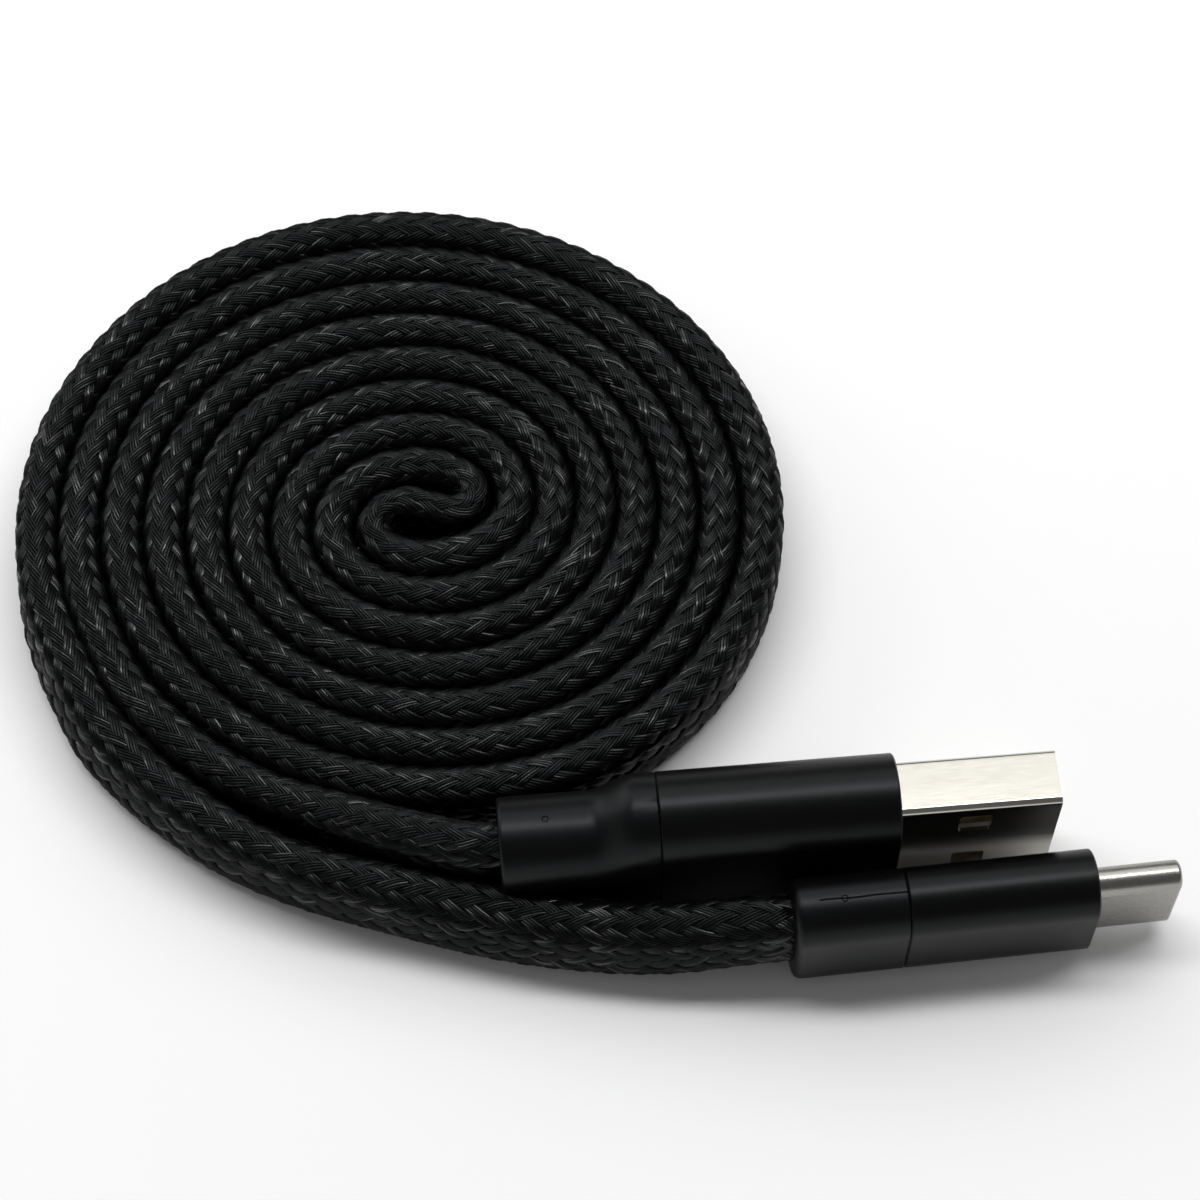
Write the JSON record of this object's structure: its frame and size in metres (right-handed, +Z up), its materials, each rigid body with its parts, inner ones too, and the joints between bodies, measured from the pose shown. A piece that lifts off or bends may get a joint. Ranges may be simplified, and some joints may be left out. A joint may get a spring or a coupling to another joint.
{
  "type": "charging cable",
  "caption": "Flat braided USB-A to USB-C charging cable, wound on edge into a spiral coil, with both metal-sleeved plugs lying side by side.",
  "frame": {"origin": "On the surface the cable lies on, under the middle of the box round the two plugs, the free cable left out.", "axes": "+X the way both plugs point (to within 7 degrees), +Z up from the surface, +Y from the USB-C plug towards the USB-A plug and the coil"},
  "size_m": [0.0919, 0.0683, 0.0145],
  "materials": {
    "braid": "matt braided nylon with glossy filaments",
    "plated_steel": "nickel-plated sheet",
    "white_plastic": "moulded",
    "gold_contact": "gold-plated",
    "wire_cover": "extruded",
    "black_plastic": "moulded",
    "black_aluminium": "fine-blasted, black anodised",
    "black_rubber": "satin moulded",
    "spring_steel": "stamped",
    "green_board": "solder-masked laminate"
  },
  "bodies": {
    "root": {"cable_coil": "braid", "cable_tail_usb_a": "braid", "cable_tail_usb_c": "braid", "usb_a_shell": "plated_steel", "usb_a_tongue": "white_plastic", "usb_a_power_contacts": "gold_contact", "usb_a_data_contacts": "gold_contact", "usb_a_wires": "wire_cover", "usb_a_inner_mould": "black_plastic", "usb_a_sleeve": "black_aluminium", "usb_a_boot": "black_rubber", "usb_c_shell": "plated_steel", "usb_c_contact_block": "black_plastic", "usb_c_upper_contacts": "gold_contact", "usb_c_lower_contacts": "gold_contact", "usb_c_latch_plate": "spring_steel", "usb_c_ground_springs": "spring_steel", "usb_c_board": "green_board", "usb_c_resistor": "black_plastic", "usb_c_wires": "wire_cover", "usb_c_inner_mould": "black_plastic", "usb_c_sleeve": "black_aluminium", "usb_c_boot": "black_rubber"}
  },
  "joints": []
}
